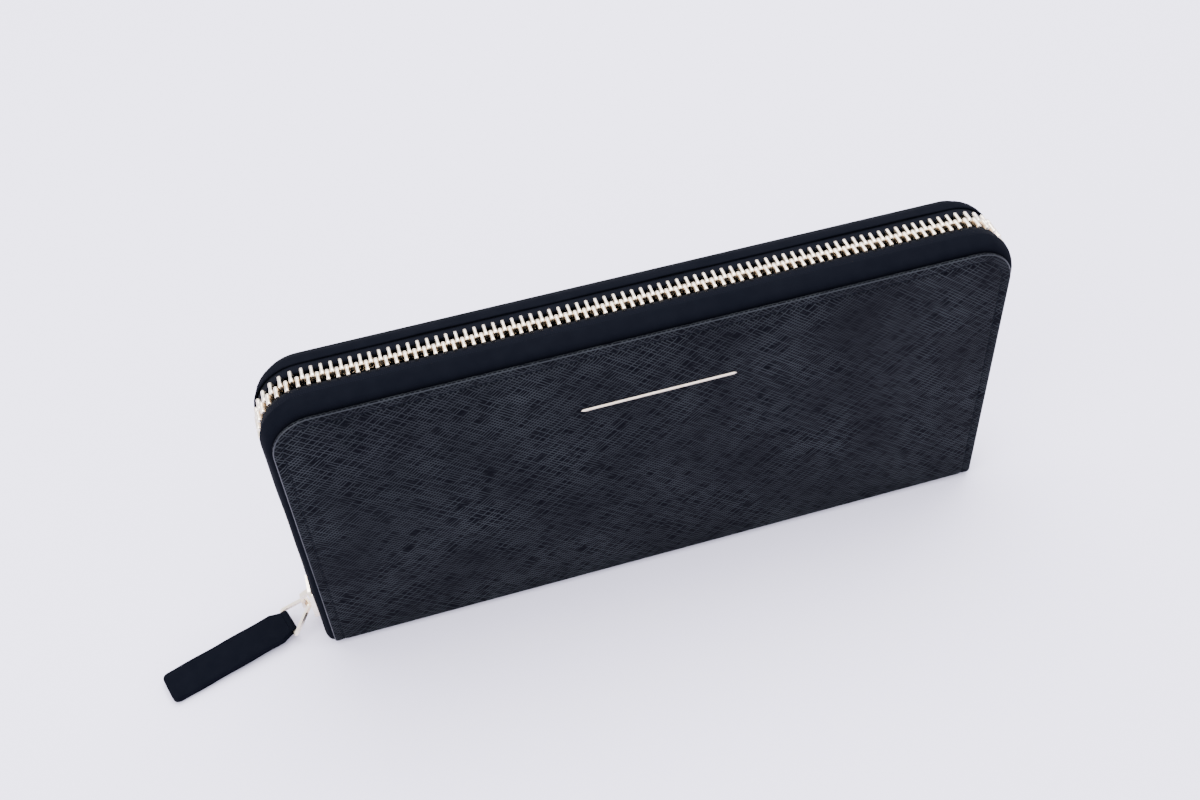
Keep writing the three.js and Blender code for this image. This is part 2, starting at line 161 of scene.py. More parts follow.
def path_at(s, n=0.0):
    """A point on the cover's edge at the distance s, n outwards: x, z and the outward direction."""
    left = s < PATH / 2
    run = s if left else PATH - s
    side = -1 if left else 1
    a = min(max((run - SIDE) / CORNER, 0), PI / 2)
    nx, nz = side * math.cos(a), math.sin(a)
    beyond = max(0, run - SIDE - ARC)
    x = side * (HALF_W - CORNER) + nx * (CORNER + n) - side * beyond
    z = min(run, SIDE) + nz * (CORNER + n)
    if a == 0:
        z = run
    return x, z, nx, nz


def path_steps(s0, s1):
    """Distances along the path from s0 to s1, closer together in the corners."""
    marks = {s0, s1}
    side_count, top_count = int(SIDE / PATH_STEP), int(RUN / PATH_STEP)
    for k in range(side_count + 1):
        marks |= {k * SIDE / side_count, PATH - k * SIDE / side_count}
    for k in range(CORNER_STEPS + 1):
        marks |= {SIDE + k * ARC / CORNER_STEPS, PATH - SIDE - k * ARC / CORNER_STEPS}
    for k in range(top_count + 1):
        marks.add(SIDE + ARC + k * RUN / top_count)
    inside = sorted(m for m in marks if s0 - 1e-6 <= m <= s1 + 1e-6)
    kept = [inside[0]]
    for m in inside[1:]:
        if m - kept[-1] > 0.05:
            kept.append(m)
    return kept


def swept(section, s0, s1, side, wobble=None):
    """Rows of points of a closed [n, |y|] section along the path, on the front (-1) or back (1)."""
    rows, uvs = [], []
    for s in path_steps(s0, s1):
        row, uv, across = [], [], 0.0
        last = None
        for n, y in section:
            extra = wobble(s, y) if wobble else 0.0
            x, z, nx, nz = path_at(s, 0)
            row.append((x + nx * (n + extra), side * y, z + nz * (n + extra)))
            across += math.hypot(n - last[0], y - last[1]) if last else 0
            last = (n, y)
            uv.append((s * MM, across * MM))
        rows.append(row)
        uvs.append(uv)
    return rows, uvs


# ---------------------------------------------------------------- materials
def new_material(name):
    material = bpy.data.materials.new(name)
    material.use_nodes = True
    nodes = material.node_tree.nodes
    nodes.clear()
    out = nodes.new("ShaderNodeOutputMaterial")
    bsdf = nodes.new("ShaderNodeBsdfPrincipled")
    material.node_tree.links.new(bsdf.outputs[0], out.inputs[0])
    return material, material.node_tree, bsdf


def node(tree, kind, inputs=None, **props):
    made = tree.nodes.new(kind)
    for key, value in props.items():
        setattr(made, key, value)
    for key, value in (inputs or {}).items():
        if isinstance(value, bpy.types.NodeSocket):
            tree.links.new(value, made.inputs[key])
        else:
            made.inputs[key].default_value = value
    return made


def math_node(tree, operation, a, b):
    return node(tree, "ShaderNodeMath", {0: a, 1: b}, operation=operation).outputs[0]


def colour_mix(tree, factor, a, b):
    made = node(tree, "ShaderNodeMix", data_type="RGBA")
    for index, value in ((0, factor), (6, a), (7, b)):
        if isinstance(value, bpy.types.NodeSocket):
            tree.links.new(value, made.inputs[index])
        else:
            made.inputs[index].default_value = value
    return made.outputs[2]


def turned(tree, vector, degrees, scale=(1, 1, 1)):
    return node(
        tree,
        "ShaderNodeMapping",
        {"Vector": vector, "Rotation": (0, 0, math.radians(degrees)), "Scale": scale},
    ).outputs[0]


def ramp(tree, value, low, high, to_low=0.0, to_high=1.0):
    inputs = {0: value, 1: low, 2: high, 3: to_low, 4: to_high}
    return node(tree, "ShaderNodeMapRange", inputs, clamp=True).outputs[0]


def noise(tree, vector, scale, detail, output="Fac"):
    inputs = {"Vector": vector, "Scale": scale, "Detail": detail}
    return node(tree, "ShaderNodeTexNoise", inputs).outputs[output]


def bands(tree, vector, pitch, direction, distortion, detail_scale=1.0):
    """Parallel waves, one every pitch."""
    inputs = {
        "Vector": vector,
        "Scale": 2 * PI / (pitch * MM) / 20,
        "Distortion": distortion,
        "Detail": 1.0,
        "Detail Scale": detail_scale,
    }
    made = node(tree, "ShaderNodeTexWave", inputs, wave_type="BANDS", bands_direction=direction)
    return made.outputs["Fac"]


def paint(tree, bsdf, factor, dark, lit):
    """The base colour, from dark to lit by the factor."""
    tree.links.new(colour_mix(tree, factor, (*dark, 1), (*lit, 1)), bsdf.inputs["Base Color"])


def relief_of(tree, bsdf, height, strength, distance):
    """Bumps the surface by the height, over the distance."""
    inputs = {"Height": height, "Strength": strength, "Distance": distance * MM}
    tree.links.new(node(tree, "ShaderNodeBump", inputs).outputs[0], bsdf.inputs["Normal"])


def embossed_leather(name, dark, lit, pitch=0.78, depth=0.07, rough=(0.42, 0.62)):
    """Leather pressed with two sets of fine crossing lines, painted lighter where the lines stand out: a
    painted highlight on their ridges, in patches.
    """
    material, tree, bsdf = new_material(name)
    uv = node(tree, "ShaderNodeTexCoord").outputs["UV"]
    wander = {0: noise(tree, uv, 420.0, 2.0, "Color"), "Scale": 0.00022}
    shift = node(tree, "ShaderNodeVectorMath", wander, operation="SCALE").outputs[0]
    shifted = node(tree, "ShaderNodeVectorMath", {0: uv, 1: shift}, operation="ADD").outputs[0]
    sets = []
    for degrees in (38, -38):
        wave = bands(tree, turned(tree, shifted, degrees), pitch, "Y", 0.12, detail_scale=2.0)
        stretched = turned(tree, turned(tree, uv, degrees), 0, (160, 1300, 1))
        broken = noise(tree, stretched, 1.0, 0.0)
        sets.append(math_node(tree, "MULTIPLY", wave, ramp(tree, broken, 0.1, 0.5)))
    lines = math_node(tree, "MAXIMUM", sets[0], sets[1])
    fine = noise(tree, uv, 5200.0, 3.0)
    patches = noise(tree, uv, 45.0, 3.0)
    height = math_node(tree, "ADD", lines, math_node(tree, "MULTIPLY", fine, 0.22))
    # painted highlight: the raised lines are painted towards the lit colour, more strongly in some patches
    painted_line_highlight = math_node(tree, "MULTIPLY", ramp(tree, lines, 0.6, 0.98), ramp(tree, patches, 0.1, 0.9))
    paint(tree, bsdf, painted_line_highlight, dark, lit)
    tree.links.new(ramp(tree, patches, 0.3, 0.7, *rough), bsdf.inputs["Roughness"])
    bsdf.inputs["Specular IOR Level"].default_value = 0.025
    relief_of(tree, bsdf, height, 1.0, depth)
    return material


def grained_leather(name, dark, lit, scale=900.0, depth=0.03, rough=0.6, specular=0.35):
    """Smooth leather with a fine pebbled grain."""
    material, tree, bsdf = new_material(name)
    where = node(tree, "ShaderNodeTexCoord").outputs["UV"]
    voronoi = node(tree, "ShaderNodeTexVoronoi", {"Vector": where, "Scale": scale}, feature="SMOOTH_F1")
    cells = voronoi.outputs["Distance"]
    clouds = noise(tree, where, scale * 0.3, 4.0)
    patches = noise(tree, where, 60.0, 2.0)
    paint(tree, bsdf, clouds, dark, lit)
    roughness = ramp(tree, patches, 0.3, 0.7, rough - 0.06, rough + 0.08)
    tree.links.new(roughness, bsdf.inputs["Roughness"])
    bsdf.inputs["Specular IOR Level"].default_value = specular
    height = math_node(tree, "ADD", cells, math_node(tree, "MULTIPLY", clouds, 0.6))
    relief_of(tree, bsdf, height, 0.8, depth)
    return material


def woven(name, dark, lit, pitch=0.45, depth=0.06, twill=True):
    """Woven tape or lining: two crossing sets of threads."""
    material, tree, bsdf = new_material(name)
    where = node(tree, "ShaderNodeTexCoord").outputs["UV"]
    angles = (45, -45) if twill else (0, 90)
    warp, weft = [bands(tree, turned(tree, where, degrees), pitch, "X", 0.4) for degrees in angles]
    if twill:
        weave = math_node(tree, "ADD", warp, math_node(tree, "MULTIPLY", weft, 0.35))
    else:
        weave = math_node(tree, "MULTIPLY", warp, weft)
    fuzz = noise(tree, where, 3000.0, 3.0)
    paint(tree, bsdf, math_node(tree, "MULTIPLY", weave, fuzz), dark, lit)
    bsdf.inputs["Roughness"].default_value = 0.88
    bsdf.inputs["Specular IOR Level"].default_value = 0.05
    bsdf.inputs["Sheen Weight"].default_value = 0.01
    bsdf.inputs["Sheen Roughness"].default_value = 0.5
    height = math_node(tree, "ADD", weave, math_node(tree, "MULTIPLY", fuzz, 0.3))
    relief_of(tree, bsdf, height, 0.8, depth)
    return material


def plated(name, colour, shade, rough=0.22):
    """Polished plated metal with faint scratches and a slightly uneven plating."""
    material, tree, bsdf = new_material(name)
    where = node(tree, "ShaderNodeTexCoord").outputs["Object"]
    spots = noise(tree, where, 700.0, 4.0)
    scratches = noise(tree, turned(tree, where, 30, (300, 9000, 2500)), 1.0, 2.0)
    paint(tree, bsdf, ramp(tree, spots, 0.35, 0.75), colour, shade)
    bsdf.inputs["Metallic"].default_value = 1.0
    roughness = ramp(tree, spots, 0.3, 0.7, rough - 0.05, rough + 0.1)
    tree.links.new(roughness, bsdf.inputs["Roughness"])
    relief_of(tree, bsdf, scratches, 0.25, 0.01)
    return material


def board_stock(name):
    """Grey-brown fibre board."""
    material, tree, bsdf = new_material(name)
    where = node(tree, "ShaderNodeTexCoord").outputs["Object"]
    fibres = noise(tree, where, 1500.0, 5.0)
    paint(tree, bsdf, fibres, (0.2, 0.16, 0.12), (0.34, 0.29, 0.23))
    bsdf.inputs["Roughness"].default_value = 0.9
    relief_of(tree, bsdf, fibres, 0.6, 0.05)
    return material


MATT = {"rough": 0.75, "specular": 0.01}
# the outer and pocket leathers both carry the painted highlight on their raised lines
outer = embossed_leather("outer_leather", (0.0010, 0.0013, 0.0028), (0.032, 0.036, 0.041), rough=(0.6, 0.75))
pull_hide = grained_leather("pull_leather", (0.0018, 0.0022, 0.0044), (0.0036, 0.0042, 0.007), **MATT)
band_leather = grained_leather("band_leather", (0.0018, 0.0022, 0.0042), (0.0034, 0.004, 0.0066), **MATT)
inner_leather = embossed_leather(
    "pocket_leather", (0.006, 0.0065, 0.009), (0.018, 0.02, 0.026), pitch=0.6, depth=0.05
)
# painted highlight: the rounded turned edge gets a leather painted lighter than the panel's, standing in for
# the light it catches
painted_edge_highlight = grained_leather(
    "painted_edge_highlight", (0.003, 0.004, 0.007), (0.019, 0.022, 0.029), scale=700.0, depth=0.04, rough=0.4, specular=0.2
)
lining_cloth = woven("lining_cloth", (0.005, 0.006, 0.009), (0.03, 0.033, 0.042))
tape_cloth = woven("zip_tape_cloth", (0.001, 0.0015, 0.004), (0.004, 0.005, 0.010), pitch=0.5, twill=False)
thread = woven("sewing_thread", (0.0014, 0.0018, 0.004), (0.007, 0.009, 0.014), pitch=0.25, depth=0.03)
gold = plated("pale_gold", (0.98, 0.88, 0.76), (0.9, 0.77, 0.6))
foil = plated("foil_gold", (0.95, 0.83, 0.66), (0.8, 0.66, 0.46), rough=0.3)
cardboard = board_stock("board_stock")


# ---------------------------------------------------------------- outer leather
# developed heights: where the bend ends on the underside, and the middle of the underside
CURL_END = CURL - CURL * PI / 2
FLAT_END = CURL_END - (HALF_D - CURL)


def wrap(side, x, h, out):
    """A point of the developed leather, out from its outer face, laid round the spine's bend."""
    lower = HALF_D - CURL
    if h >= CURL:
        return (x, side * (HALF_D + out), h)
    if h >= CURL_END:
        a = (CURL - h) / CURL
        return (x, side * (lower + (CURL + out) * math.cos(a)), CURL - (CURL + out) * math.sin(a))
    return (x, side * (lower - (CURL_END - h)), max(0.02, -out))


def belly(x, h):
    """How far the leather stands proud between its sewn edges."""
    across = max(0.0, 1 - (x / (HALF_W - 6)) ** 4)
    up = max(0.0, math.sin(PI * min(max((h - 1) / (TOP - 7), 0), 1)) ** 0.7)
    slow = 0.12 * math.sin(x * 0.045 + 1.1) * math.sin(h * 0.07 + 0.4)
    return across * up * (0.55 + slow)


# distance in from the edge, and how far the surface stands out, from the turned-in hem round the edge
EDGE = [
    (8.0, -1.35), (4.0, -1.35), (1.4, -1.35), (0.7, -1.28), (0.25, -1.1), (0.03, -0.8), (0.0, -0.5),
    (0.1, -0.22), (0.35, -0.03), (0.75, 0.07), (1.25, 0.1), (1.8, 0.07), (2.2, -0.02), (2.45, -0.16),
    (2.65, -0.22), (2.85, -0.16), (3.1, -0.02), (3.6, 0.07), (4.4, 0.1), (5.6, 0.08),
]
GROOVE = 2.65
HEM_BELOW, HEM_SLIP = -0.6, 1.4  # the hem lies below this, and its grain is shifted by this
EDGE_HIGHLIGHT_RING = 7  # the strip of the edge that carries the painted highlight
PANEL_INSET, PANEL_OUT = 7.2, 0.08


def outer_panel(side, name):
    """A cover's leather with its turned-in hem, from the underside's middle up and over the cover."""
    heights = [FLAT_END + k * (CURL_END - FLAT_END) / 4 for k in range(4)]
    heights += [CURL - CURL * PI / 2 * (1 - k / 10) for k in range(10)]
    heights += [CURL + k * (SIDE - CURL) / 40 for k in range(40)]
    arc = [PI / 2 * k / 14 for k in range(15)]
    columns = 76
    built = Build()

    def ring(inset, out):
        """Left foot, up the side, round the corner, along the top and down the other side."""
        r = CORNER - inset
        points = [(-(HALF_W - inset), h) for h in heights]
        points += [(-(HALF_W - CORNER) - r * math.cos(a), SIDE + r * math.sin(a)) for a in arc]
        top_left = points[-1][0]
        points += [(top_left * (1 - 2 * k / columns), TOP - inset) for k in range(1, columns)]
        points += [(-x, h) for x, h in reversed(points[: len(heights) + len(arc)])]
        return [(x, h, out) for x, h in points]

    rows, uvs = [], []
    for inset, out in EDGE:
        line = ring(inset, out)
        rows.append([wrap(side, x, h, o) for x, h, o in line])
        slip = HEM_SLIP if out < HEM_BELOW else 0.0
        uvs.append([(x * MM, (h + slip) * MM) for x, h, o in line])
    built.grid(rows, uvs, flip=side > 0)
    r = CORNER - PANEL_INSET
    lines = [(HALF_W - PANEL_INSET, h) for h in heights]
    lines += [(HALF_W - CORNER + r * math.cos(a), SIDE + r * math.sin(a)) for a in arc]
    rows, uvs = [], []
    for half, h in lines:
        row = [(-half + 2 * half * k / columns, h) for k in range(columns + 1)]
        rows.append([wrap(side, x, hh, PANEL_OUT + belly(x, hh)) for x, hh in row])
        uvs.append([(x * MM, hh * MM) for x, hh in row])
    start = built.grid(rows, uvs, flip=side < 0)
    width, count = columns + 1, len(lines)
    border = [start + k * width for k in range(count)]
    border += [start + (count - 1) * width + k for k in range(1, columns)]
    border += [start + k * width + columns for k in reversed(range(count))]
    last_ring = (len(EDGE) - 1) * len(border)
    for k in range(len(border) - 1):
        quad = (last_ring + k, last_ring + k + 1, border[k + 1], border[k])
        built.faces.append(quad[::-1] if side > 0 else quad)
    obj = built.make(name, outer)
    obj.data.materials.append(painted_edge_highlight)
    across = len(border) - 1
    # the painted highlight goes on one ring of faces round the turned edge
    for index in range(EDGE_HIGHLIGHT_RING * across, (EDGE_HIGHLIGHT_RING + 1) * across):
        obj.data.polygons[index].material_index = 1
    return recalc_open(obj, side)


def recalc_open(obj, side):
    """Turns an open sheet so that its outer face looks away from the wallet."""
    cover = [p for p in obj.data.polygons if abs(p.center.y) > (HALF_D - 0.5) * MM]
    if sum(p.normal.y * p.area for p in cover) * side < 0:
        obj.data.flip_normals()
    return obj


def lay_fold(obj):
    """Bakes a front piece's transform into its mesh."""
    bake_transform(obj)


def lay_zip(obj):
    """Bakes the transform of a piece of the front half of the zip into its mesh."""
    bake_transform(obj)


def lay_elements(obj):
    """Bakes the front row of elements' transform into its mesh."""
    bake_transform(obj)


front_panel = outer_panel(-1, "front_outer_leather")
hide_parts("front_cover_leather", "front_fold_leather")
lay_fold(front_panel)
back_panel = outer_panel(1, "back_outer_leather")
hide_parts("back_cover_leather", "spine_leather")
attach(back_panel, BACK)


# ---------------------------------------------------------------- stitching
# stations along a stitch: place as a share of its length, and its thickness as a share of the full one
STITCH = [(-0.5, 0.35), (-0.42, 0.8), (-0.25, 1), (0, 1.08), (0.25, 1), (0.42, 0.8), (0.5, 0.35)]


def stitch_row(name, places, length=2.0, radius=0.2):
    """Thread stitches. Each place is a centre, a direction and an outward direction."""
    built = Build()
    for centre, along, out in places:
        c, t, o = Vector(centre), Vector(along).normalized(), Vector(out).normalized()
        w = t.cross(o).normalized()
        rows = []
        for f, r in STITCH:
            dip = -0.18 * abs(2 * f) ** 3
            middle = c + t * (f * length) + o * dip
            turns = [PI / 4 * k for k in range(8)]
            rows.append([tuple(middle + (w * math.cos(a) + o * 0.8 * math.sin(a)) * radius * r) for a in turns])
        built.tube(rows, [[((f + k) * 0.0003, f * 0.001) for k in range(8)] for f in range(len(rows))])
    return recalc(built.make(name, thread))


def panel_stitches(side):
    """Places of the stitches in the panel's groove, up the sides and along the top."""
    r = CORNER - GROOVE
    side_run = SIDE + 1.5
    arc_run = PI / 2 * r
    total = 2 * side_run + 2 * arc_run + RUN
    count = int(total / 2.75)
    places = []
    for k in range(count):
        s = (k + 0.5) * total / count
        left = s < total / 2
        run = s if left else total - s
        sign = -1 if left else 1
        if run < side_run:
            h = run - 1.5
            p = wrap(side, sign * (HALF_W - GROOVE), h, -0.12)
            q = wrap(side, sign * (HALF_W - GROOVE), h + 0.1, -0.12)
            o = wrap(side, sign * (HALF_W - GROOVE), h, 1)
            places.append((p, Vector(q) - Vector(p), Vector(o) - Vector(p)))
            continue
        a = min((run - side_run) / r, PI / 2)
        beyond = max(0, run - side_run - arc_run)
        x = sign * (HALF_W - CORNER + r * math.cos(a)) - sign * beyond
        z = SIDE + r * math.sin(a)
        places.append(((x, side * (HALF_D - 0.12), z), (-sign * math.sin(a), 0, math.cos(a)), (0, side, 0)))
    return places


front_sewing = stitch_row("front_cover_stitching", panel_stitches(-1))
lay_fold(front_sewing)
back_sewing = stitch_row("back_cover_stitching", panel_stitches(1))
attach(back_sewing, BACK)


# ---------------------------------------------------------------- bands and zip tapes
# sections as [distance out from the cover's edge, distance from the wallet's middle]
BAND = [
    (-6.0, 10.45), (-1.0, 10.5), (0.1, 10.45), (0.8, 10.2), (1.35, 9.6), (1.75, 8.7), (2.05, 7.6),
    (2.25, 6.6), (2.33, 6.0), (2.3, 5.72), (2.12, 5.6), (1.9, 5.62), (1.72, 5.8), (1.6, 6.6),
    (1.35, 7.7), (1.0, 8.6), (0.5, 9.3), (-0.1, 9.6), (-1.0, 9.7), (-6.0, 9.7),
]
TAPE = [
    (1.86, 2.6), (1.84, 3.6), (1.78, 4.6), (1.62, 5.4), (1.48, 6.2), (1.25, 7.2), (0.85, 8.2), (0.4, 8.9),
    (0.05, 8.7), (0.45, 8.0), (0.8, 7.1), (1.02, 6.1), (1.2, 5.2), (1.32, 4.5), (1.36, 3.6), (1.36, 2.6),
]


def ribbon(name, section, s0, s1, side, material, wobble=None):
    """A strip of the section, swept along the cover's edge."""
    built = Build()
    rows, uvs = swept(section, s0, s1, side, wobble)
    built.tube(rows, uvs)
    return recalc(built.make(name, material))


def band_wobble(s, y):
    """The band's free edge isn't quite even."""
    free = max(0.0, (10.2 - y) / 4.6)
    return free * (0.10 * math.sin(s * 0.11 + y) + 0.06 * math.sin(s * 0.29 + 2))


for side, label in SIDES:
    band = ribbon(f"{label}_zip_band", BAND, 1.0, PATH - 1.0, side, band_leather, band_wobble)
    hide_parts(f"{label}_band")
    tape = ribbon(f"{label}_zip_cloth", TAPE, 0.6, PATH - 0.6, side, tape_cloth)
    cad = [f"{label}_zip_tape"]
    if side < 0:
        cad += ["front_tape_end_left", "front_tape_end_right"]
    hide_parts(*cad)
    for obj in (band, tape):
        if side < 0:
            lay_zip(obj)
        else:
            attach(obj, BACK)


# ---------------------------------------------------------------- zip elements
# stations across an element: |y| from its outer end to its head, half width along the zip, size of the section
ELEMENT = [
    (3.1, 0.36, 0.84), (3.06, 0.47, 0.93), (2.95, 0.53, 0.99), (2.4, 0.53, 1.0), (1.5, 0.47, 1.0),
    (0.95, 0.46, 1.0), (0.5, 0.55, 1.0), (0.0, 0.58, 1.0), (-0.38, 0.55, 0.95), (-0.58, 0.44, 0.85),
    (-0.64, 0.3, 0.7),
]
LOW, HIGH = 0.42, 2.78  # the elements' faces, out from the cover's edge
FIRST_ELEMENT, STOP_GAP = 5.6, 1  # above the slider's foot, and clear of the stops


def soft_square(points, power, half, tall):
    """A rectangle's outline with round corners, squarer for a lower power."""
    outline = []
    for k in range(points):
        a = 2 * PI * (k + 0.5) / points
        u = math.copysign(abs(math.cos(a)) ** power, math.cos(a)) * half
        v = math.copysign(abs(math.sin(a)) ** power, math.sin(a)) * tall
        outline.append((u, v))
    return outline


def element(built, side, s):
    """One element of the zip, at the distance s along its path."""
    x, z, nx, nz = path_at(s)
    out = Vector((nx, 0, nz))
    along = Vector((nz, 0, -nx))
    across = Vector((0, side, 0))
    middle = Vector((x, 0, z)) + out * (LOW + HIGH) / 2
    rows = []
    for y, half, size in ELEMENT:
        outline = soft_square(12, 0.55, half, (HIGH - LOW) / 2 * size)
        rows.append([tuple(middle + across * y + along * u + out * v) for u, v in outline])
    built.tube(rows)


def element_row(name, side, s0, s1):
    """A row of elements, with the back row half a pitch behind the front one."""
    built = Build()
    phase = 0 if side < 0 else PITCH / 2
    first = math.ceil((s0 - phase) / PITCH)
    last = math.floor((s1 - phase) / PITCH)
    for k in range(first, last + 1):
        element(built, side, k * PITCH + phase)
    return recalc(built.make(name, gold))


row_ends = SLIDER_FOOT + FIRST_ELEMENT, PATH - STOP_TOP - STOP_GAP
front_row = element_row("front_zip_elements", -1, *row_ends)
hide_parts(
    "front_zip_teeth", "front_left_run_teeth", "front_teeth_end_left", "front_teeth_end_right"
)
lay_elements(front_row)
back_row = element_row("back_zip_elements", 1, *row_ends)
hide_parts("back_zip_teeth", "back_left_run_teeth")
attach(back_row, BACK)


# ---------------------------------------------------------------- CAD metal
for name, width in (
    ("slider", 0.22), ("pull_link", 0.2), ("zip_bottom_stop", 0.3), ("zip_top_stop_front", 0.25),
    ("zip_top_stop_back", 0.25), ("coin_slider", 0.18), ("coin_pull", 0.15),
):
    dress(name, gold, width)


# ---------------------------------------------------------------- layers inside the covers
def body_of(side):
    return FRONT if side < 0 else BACK


LAYER_STEP, CORNER_COLUMNS = 3.0, 7


def layer(name, node, material, corner=0.0, face=-1, relief=None, nz=14):
    """A closed sheet in a CAD sheet's place. face is 1 when its modelled face looks away from the middle."""
    lo, hi = mm_box(node)
    side = -1 if lo[1] + hi[1] < 0 else 1
    near, far = sorted((abs(lo[1]), abs(hi[1])))
    half, count = hi[0], int(2 * hi[0] / LAYER_STEP)
    shown, hidden = (far, near) if face > 0 else (near, far)
    built = Build()
    rows, uvs = [], []
    xs = [-half + 2 * half * k / count for k in range(count + 1)]
    if corner:
        turns = [PI / 2 * k / (CORNER_COLUMNS - 1) for k in range(CORNER_COLUMNS)]
        bends = [half - corner * (1 - math.cos(a)) for a in turns]
        xs = sorted(set(xs + [sign * x for sign in (-1, 1) for x in bends]))
    for x in xs:
        over = max(0.0, abs(x) - (half - corner))
        top = hi[2] - corner + math.sqrt(max(0.0, corner ** 2 - over ** 2)) if corner else hi[2]
        row = []
        for k in range(nz + 1):
            z = lo[2] + (top - lo[2] - 0.15) * k / nz
            out = relief(x, z, top) if relief else 0.0
            row.append((x, side * (shown + face * out), z))
        row.append((x, side * (shown - face * 0.14), top))
        row.append((x, side * (hidden + face * 0.14), top))
        for k in range(nz, -1, -1):
            row.append((x, side * hidden, lo[2] + (top - lo[2] - 0.15) * k / nz))
        rows.append(row)
        uvs.append([(p[0] * MM, p[2] * MM) for p in row])
    built.tube(rows, uvs)
    obj = recalc(built.make(name, material))
    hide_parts(node)
    return obj


def bump_at(value, place, width):
    """A smooth bump of height 1 at the place."""
    return math.exp(-(((value - place) / width) ** 2))


def pocket_relief(x, z, top):
    """A creased mouth, and a shallow pillow in each of the two columns of cards."""
    mouth = 0.14 * bump_at(z, top - 0.8, 0.55) - 0.1 * bump_at(z, top - 2.2, 0.4)
    parting = -0.12 * bump_at(x, 0, 0.8)
    across = max(0.0, math.sin(PI * min(abs(x) / 68, 1)))
    pillow = 0.07 * across * max(0.0, math.sin(PI * min(max((top - z) / 11, 0), 1)))
    clear = min(max((74 - abs(x)) / 4, 0), 1)  # flat where the gussets are sewn on
    return mouth * clear + parting + pillow * clear


def wall_relief(x, z, top):
    """A soft swell between the coin pocket's ends, and a ridge under its zip."""
    swell = 0.09 * math.sin(PI * min(max(z / 77, 0), 1)) * max(0.0, 1 - (x / 90) ** 4)
    return swell + 0.1 * bump_at(z, top - 1, 0.8)


def lining_relief(x, z, top):
    """Slight ripples. The lining has no mouth, so its top isn't used."""
    return 0.03 * math.sin(x * 0.21 + z * 0.13) * math.sin(z * 0.3)


POCKETS = 4
for side, label in SIDES:
    lining = layer(
        f"{label}_lining_cloth", f"{label}_lining", lining_cloth, corner=CORNER - 3.4, relief=lining_relief
    )
    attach(lining, body_of(side))
    places = []
    mouths = [mm_box(f"{label}_card_pocket_{k + 1}") for k in range(POCKETS)]
    for k, (lo, hi) in enumerate(mouths):
        cad_pocket = f"{label}_card_pocket_{k + 1}"
        name = f"{label}_card_slot_{k + 1}"
        pocket = layer(name, cad_pocket, inner_leather, corner=2.0, relief=pocket_relief)
        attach(pocket, body_of(side))
        near = min(abs(lo[1]), abs(hi[1]))
        below = mouths[k + 1][1][2] if k + 1 < POCKETS else lo[2]
        for x in (-89.2, 0.0, 89.2):
            depth = near - 0.02 + (0.08 if x == 0 else 0)
            for n in range(int((hi[2] - below - 3.2) / 2.6) + 1):
                places.append(((x, side * depth, below + 1.8 + n * 2.6), (0, 0, 1), (0, -side, 0)))
    sewing = stitch_row(f"{label}_pocket_stitching", places, length=1.7, radius=0.14)
    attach(sewing, body_of(side))


def spine_lining_sheet():
    """The lining's strip across the spine, turned up against both covers' linings."""
    path = [(9.05, 7.3), (9.05, 5.6), (8.85, 4.6), (8.2, 3.5), (7.2, 2.85), (6.0, 2.65)]
    path += [(y, 2.62) for y in (4.0, 2.0, 0.0, -2.0, -4.0)]
    path += [(-y, z) for y, z in path[:6][::-1]]
    half, columns, thick, bend_centre = 93.6, 62, 0.28, 9
    xs = [-half + 2 * half * k / columns for k in range(columns + 1)]
    built = Build()
    rows, uvs = [], []
    for x in xs:
        ring, uv = [], []
        for sign in (1, -1):
            line = path if sign > 0 else path[::-1]
            for y, z in line:
                n = Vector((-y, bend_centre - z)).normalized() * (thick / 2) * sign
                wave = 0.03 * math.sin(x * 0.3 + y)
                ring.append((x, y + n[0], z + n[1] + (wave if sign > 0 else 0)))
                uv.append((x * MM, y * MM))
        rows.append(ring)
        uvs.append(uv)
    built.tube(rows, uvs)
    obj = recalc(built.make("spine_lining_cloth", lining_cloth))
    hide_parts("spine_lining")
    lay_fold(obj)


spine_lining_sheet()

for name in ("front_cover_board", "back_cover_board", "spine_stiffener"):
    dress(name, cardboard, 0.15, segments=2)


